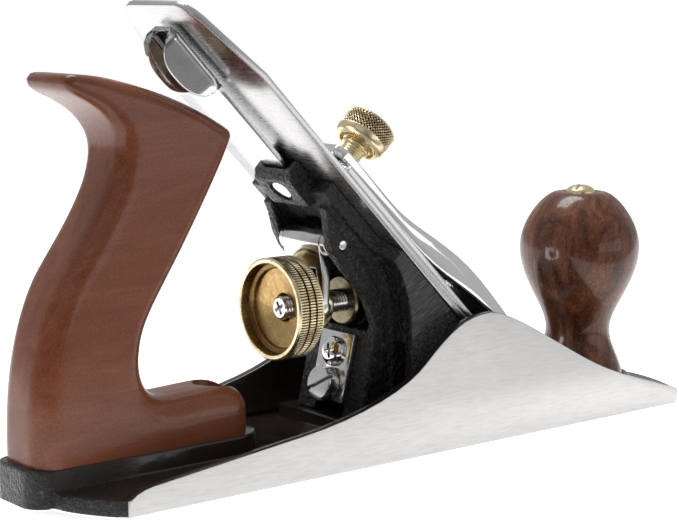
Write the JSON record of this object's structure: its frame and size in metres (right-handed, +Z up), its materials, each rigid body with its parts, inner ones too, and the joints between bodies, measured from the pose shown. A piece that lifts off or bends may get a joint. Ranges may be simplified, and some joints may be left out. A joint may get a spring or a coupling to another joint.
{
  "type": "hand plane",
  "caption": "Metal bench plane with wooden rear handle and front knob, angled cutting iron, clamping cap, brass depth wheel and sideways adjusting lever.",
  "frame": {"origin": "centre of the sole's footprint, on the sole's face", "axes": "+X towards the toe, +Z up, +Y towards the side that faces away from a viewer who sees the toe on the right"},
  "size_m": [0.248, 0.0636, 0.1358],
  "materials": {
    "cast_black": "glossy black enamel over casting, sides and sole ground bright",
    "wood_tote": "lacquered reddish-brown hardwood",
    "wood_knob": "lacquered dark hardwood",
    "steel": "ground steel",
    "bright_steel": "bright zinc-plated steel",
    "chrome": "polished chrome plate",
    "brass": "turned brass"
  },
  "bodies": {
    "base": {"body_casting": "cast_black", "tote": "wood_tote", "tote_rod": "bright_steel", "tote_nut": "brass", "tote_toe_screw": "bright_steel", "knob": "wood_knob", "knob_rod": "bright_steel", "knob_nut": "brass", "frog_screws": "bright_steel", "frog_washers": "bright_steel"},
    "frog_carriage": {"frog": "cast_black", "frog_clip": "bright_steel", "frog_clip_screw": "bright_steel", "adjusting_stud": "bright_steel", "stud_lock_nut": "brass", "yoke_pin": "bright_steel", "lateral_lever_rivet": "bright_steel", "lever_cap_screw": "bright_steel"},
    "frog_screw": {"frog_adjusting_screw": "bright_steel"},
    "iron_carrier": {"cap_iron_screw": "bright_steel"},
    "blade": {"iron": "steel", "cap_iron": "steel"},
    "yoke": {"yoke": "bright_steel"},
    "collar": {"depth_wheel_collar": "brass"},
    "wheel": {"depth_wheel": "brass"},
    "lateral": {"lateral_lever": "bright_steel", "lateral_disc": "bright_steel"},
    "cap": {"lever_cap": "chrome"},
    "thumb_screw": {"thumb_screw": "brass"}
  },
  "joints": [
    {"name": "frog_slide", "type": "slide", "parent": "base", "child": "frog_carriage", "axis": [1, 0, 0], "range_m": [-0.0018, 0.0018]},
    {"name": "frog_screw_turn", "type": "hinge", "parent": "frog_carriage", "child": "frog_screw", "pos_m": [-0.01323, 0, 0.01833], "axis": [0.9744, 0, -0.225], "range_deg": [-650, 650]},
    {"name": "depth_feed", "type": "slide", "parent": "frog_carriage", "child": "iron_carrier", "axis": [0.7071, 0, -0.7071], "range_m": [-0.002, 0.001]},
    {"name": "yoke_rock", "type": "hinge", "parent": "frog_carriage", "child": "yoke", "pos_m": [-0.0203, 0, 0.06392], "axis": [0, 1, 0], "range_deg": [-9.52, 5.01]},
    {"name": "collar_travel", "type": "slide", "parent": "frog_carriage", "child": "collar", "axis": [1, 0, 0], "range_m": [-0.00157, 0.00312]},
    {"name": "wheel_turn", "type": "hinge", "parent": "collar", "child": "wheel", "pos_m": [-0.03, 0, 0.0442], "axis": [1, 0, 0], "range_deg": [-558.93, 1117.35]},
    {"name": "iron_tilt", "type": "hinge", "parent": "iron_carrier", "child": "blade", "pos_m": [0.00487, 0, 0.05515], "axis": [0.7071, 0, 0.7071], "range_deg": [-1.1, 1.1]},
    {"name": "lateral_swing", "type": "hinge", "parent": "frog_carriage", "child": "lateral", "pos_m": [-0.02836, 0, 0.08273], "axis": [0.7071, 0, 0.7071], "range_deg": [-4.9, 4.9]},
    {"name": "lever_cap_slide", "type": "slide", "parent": "frog_carriage", "child": "cap", "axis": [-0.7071, 0, 0.7071], "range_m": [0, 0.0095]},
    {"name": "thumb_screw_turn", "type": "hinge", "parent": "cap", "child": "thumb_screw", "pos_m": [-0.00432, 0, 0.0898], "axis": [0.7071, 0, 0.7071], "range_deg": [-360, 360]}
  ],
  "couplings": [
    {"joint": "frog_screw_turn", "follows": "frog_slide", "rad_per_m": 6283.2},
    {"joint": "yoke_rock", "follows": "depth_feed", "rad_per_m": 78.74},
    {"joint": "collar_travel", "follows": "depth_feed", "ratio": -1.5512},
    {"joint": "wheel_turn", "follows": "depth_feed", "rad_per_m": -9746.4},
    {"joint": "lateral_swing", "follows": "iron_tilt", "ratio": -4.375}
  ]
}
